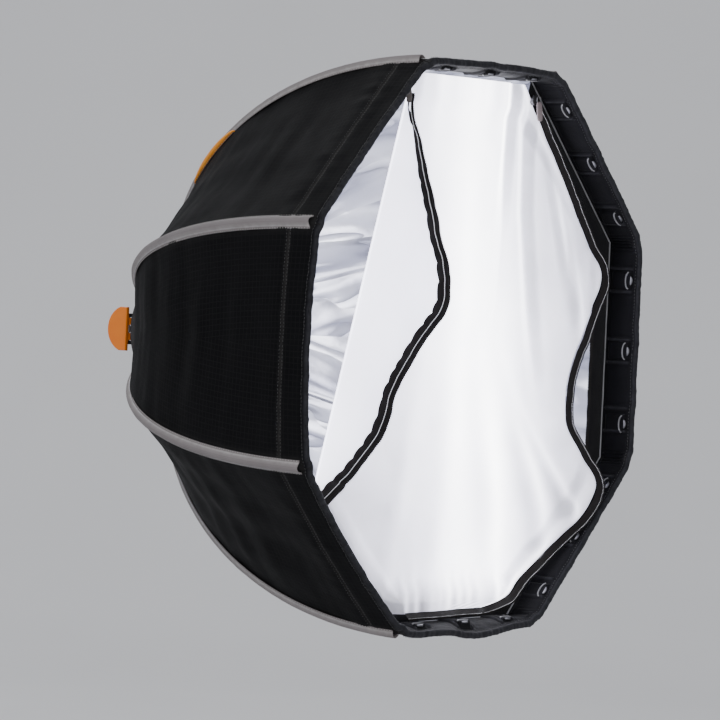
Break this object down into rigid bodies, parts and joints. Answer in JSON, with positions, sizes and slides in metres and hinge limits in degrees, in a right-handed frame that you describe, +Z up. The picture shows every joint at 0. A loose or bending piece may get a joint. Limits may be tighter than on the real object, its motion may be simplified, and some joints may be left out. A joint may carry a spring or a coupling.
{
  "type": "octabox",
  "caption": "Octagonal fabric softbox with hinged ribs, a magnetic mouth, a zipped diffuser and a latching round mount.",
  "frame": {"origin": "centre of the mount ring's rear face, on the bore's axis", "axes": "+Y back towards the light along the bore, +Z up, and the mouth faces -Y"},
  "size_m": [0.5748, 0.446, 0.5748],
  "materials": {
    "ring_plastic": "satin moulded nylon, fine grain",
    "latch_orange": "satin orange moulded plastic",
    "steel": "plain steel",
    "rib_rod": "pultruded glass-fibre rod",
    "canopy_fabric": "black ripstop polyester, silver coated inside",
    "sleeve_fabric": "grey woven polyester",
    "band_fabric": "black padded polyester",
    "magnet": "nickel plated",
    "diffuser_cloth": "white translucent diffuser cloth",
    "zip_tape": "black zip tape and flange",
    "zip_metal": "dark slider",
    "pull_mauve": "mauve-grey moulded pull",
    "accent_orange": "orange woven tab"
  },
  "bodies": {
    "mount": {"mount_ring": "ring_plastic", "retaining_ring": "ring_plastic", "latch_pin": "steel", "latch_spring": "steel"},
    "latch": {"latch_lever": "latch_orange"},
    "hub": {"hub_body": "ring_plastic", "hub_cover": "ring_plastic", "hub_screws": "steel", "hinge_pins": "steel", "zip_flange": "zip_tape", "diffuser": "diffuser_cloth", "diffuser_flap": "diffuser_cloth"},
    "rib_1": {"rib_rod_1": "rib_rod", "rib_sleeve_1": "sleeve_fabric", "canopy_panel_1": "canopy_fabric", "mouth_band_1": "band_fabric", "rim_magnets_1": "magnet", "accent_tab": "accent_orange"},
    "rib_2": {"rib_rod_2": "rib_rod", "rib_sleeve_2": "sleeve_fabric", "canopy_panel_2": "canopy_fabric", "mouth_band_2": "band_fabric", "rim_magnets_2": "magnet"},
    "rib_3": {"rib_rod_3": "rib_rod", "rib_sleeve_3": "sleeve_fabric", "canopy_panel_3": "canopy_fabric", "mouth_band_3": "band_fabric", "rim_magnets_3": "magnet"},
    "rib_4": {"rib_rod_4": "rib_rod", "rib_sleeve_4": "sleeve_fabric", "canopy_panel_4": "canopy_fabric", "mouth_band_4": "band_fabric", "rim_magnets_4": "magnet"},
    "rib_5": {"rib_rod_5": "rib_rod", "rib_sleeve_5": "sleeve_fabric", "canopy_panel_5": "canopy_fabric", "mouth_band_5": "band_fabric", "rim_magnets_5": "magnet"},
    "rib_6": {"rib_rod_6": "rib_rod", "rib_sleeve_6": "sleeve_fabric", "canopy_panel_6": "canopy_fabric", "mouth_band_6": "band_fabric", "rim_magnets_6": "magnet"},
    "rib_7": {"rib_rod_7": "rib_rod", "rib_sleeve_7": "sleeve_fabric", "canopy_panel_7": "canopy_fabric", "mouth_band_7": "band_fabric", "rim_magnets_7": "magnet"},
    "rib_8": {"rib_rod_8": "rib_rod", "rib_sleeve_8": "sleeve_fabric", "canopy_panel_8": "canopy_fabric", "mouth_band_8": "band_fabric", "rim_magnets_8": "magnet"},
    "slider_left": {"zip_slider_left": "zip_metal"},
    "slider_right": {"zip_slider_right": "zip_metal"},
    "pull_left": {"zip_pull_left": "pull_mauve"},
    "pull_right": {"zip_pull_right": "pull_mauve"}
  },
  "joints": [
    {"name": "hub_turn", "type": "hinge", "parent": "mount", "child": "hub", "pos_m": [0, -0.029, 0], "axis": [0, 1, 0], "range_deg": [-180, 180]},
    {"name": "latch_swing", "type": "hinge", "parent": "mount", "child": "latch", "pos_m": [-0.0545, 0.0065, 0], "axis": [0, 0, 1], "range_deg": [0, 40], "stiffness_Nm_per_rad": 0.06, "springref_deg": -17.19, "deforming": ["latch_spring"]},
    {"name": "rib_1_fold", "type": "hinge", "parent": "hub", "child": "rib_1", "pos_m": [-0.02047, -0.025, 0.04943], "axis": [0.9239, 0, 0.3827], "range_deg": [0, 30], "deforming": ["rib_sleeve_1", "canopy_panel_1", "mouth_band_1", "rim_magnets_1", "accent_tab", "zip_flange", "diffuser", "diffuser_flap"]},
    {"name": "rib_2_fold", "type": "hinge", "parent": "hub", "child": "rib_2", "pos_m": [0.02047, -0.025, 0.04943], "axis": [0.9239, 0, -0.3827], "range_deg": [0, 30], "deforming": ["rib_sleeve_2", "canopy_panel_2", "mouth_band_2", "rim_magnets_2"]},
    {"name": "rib_3_fold", "type": "hinge", "parent": "hub", "child": "rib_3", "pos_m": [0.04943, -0.025, 0.02047], "axis": [0.3827, 0, -0.9239], "range_deg": [0, 30], "deforming": ["rib_sleeve_3", "canopy_panel_3", "mouth_band_3", "rim_magnets_3"]},
    {"name": "rib_4_fold", "type": "hinge", "parent": "hub", "child": "rib_4", "pos_m": [0.04943, -0.025, -0.02047], "axis": [-0.3827, 0, -0.9239], "range_deg": [0, 30], "deforming": ["rib_sleeve_4", "canopy_panel_4", "mouth_band_4", "rim_magnets_4"]},
    {"name": "rib_5_fold", "type": "hinge", "parent": "hub", "child": "rib_5", "pos_m": [0.02047, -0.025, -0.04943], "axis": [-0.9239, 0, -0.3827], "range_deg": [0, 30], "deforming": ["rib_sleeve_5", "canopy_panel_5", "mouth_band_5", "rim_magnets_5"]},
    {"name": "rib_6_fold", "type": "hinge", "parent": "hub", "child": "rib_6", "pos_m": [-0.02047, -0.025, -0.04943], "axis": [-0.9239, 0, 0.3827], "range_deg": [0, 30], "deforming": ["rib_sleeve_6", "canopy_panel_6", "mouth_band_6", "rim_magnets_6"]},
    {"name": "rib_7_fold", "type": "hinge", "parent": "hub", "child": "rib_7", "pos_m": [-0.04943, -0.025, -0.02047], "axis": [-0.3827, 0, 0.9239], "range_deg": [0, 30], "deforming": ["rib_sleeve_7", "canopy_panel_7", "mouth_band_7", "rim_magnets_7"]},
    {"name": "rib_8_fold", "type": "hinge", "parent": "hub", "child": "rib_8", "pos_m": [-0.04943, -0.025, 0.02047], "axis": [0.3827, 0, 0.9239], "range_deg": [0, 30], "deforming": ["rib_sleeve_8", "canopy_panel_8", "mouth_band_8", "rim_magnets_8"]},
    {"name": "zip_slide_left", "type": "slide", "parent": "rib_1", "child": "slider_left", "axis": [-0.7071, 0, -0.7071], "range_m": [0, 0.09]},
    {"name": "pull_swing_left", "type": "hinge", "parent": "slider_left", "child": "pull_left", "pos_m": [-0.113, -0.3882, 0.255], "axis": [-1, 0, 0], "range_deg": [0, 120]},
    {"name": "zip_slide_right", "type": "slide", "parent": "rib_2", "child": "slider_right", "axis": [0.7071, 0, -0.7071], "range_m": [0, 0.09]},
    {"name": "pull_swing_right", "type": "hinge", "parent": "slider_right", "child": "pull_right", "pos_m": [0.113, -0.3882, 0.255], "axis": [-1, 0, 0], "range_deg": [0, 120]}
  ],
  "couplings": [
    {"joint": "rib_2_fold", "follows": "rib_1_fold", "ratio": 1},
    {"joint": "rib_3_fold", "follows": "rib_1_fold", "ratio": 1},
    {"joint": "rib_4_fold", "follows": "rib_1_fold", "ratio": 1},
    {"joint": "rib_5_fold", "follows": "rib_1_fold", "ratio": 1},
    {"joint": "rib_6_fold", "follows": "rib_1_fold", "ratio": 1},
    {"joint": "rib_7_fold", "follows": "rib_1_fold", "ratio": 1},
    {"joint": "rib_8_fold", "follows": "rib_1_fold", "ratio": 1}
  ]
}
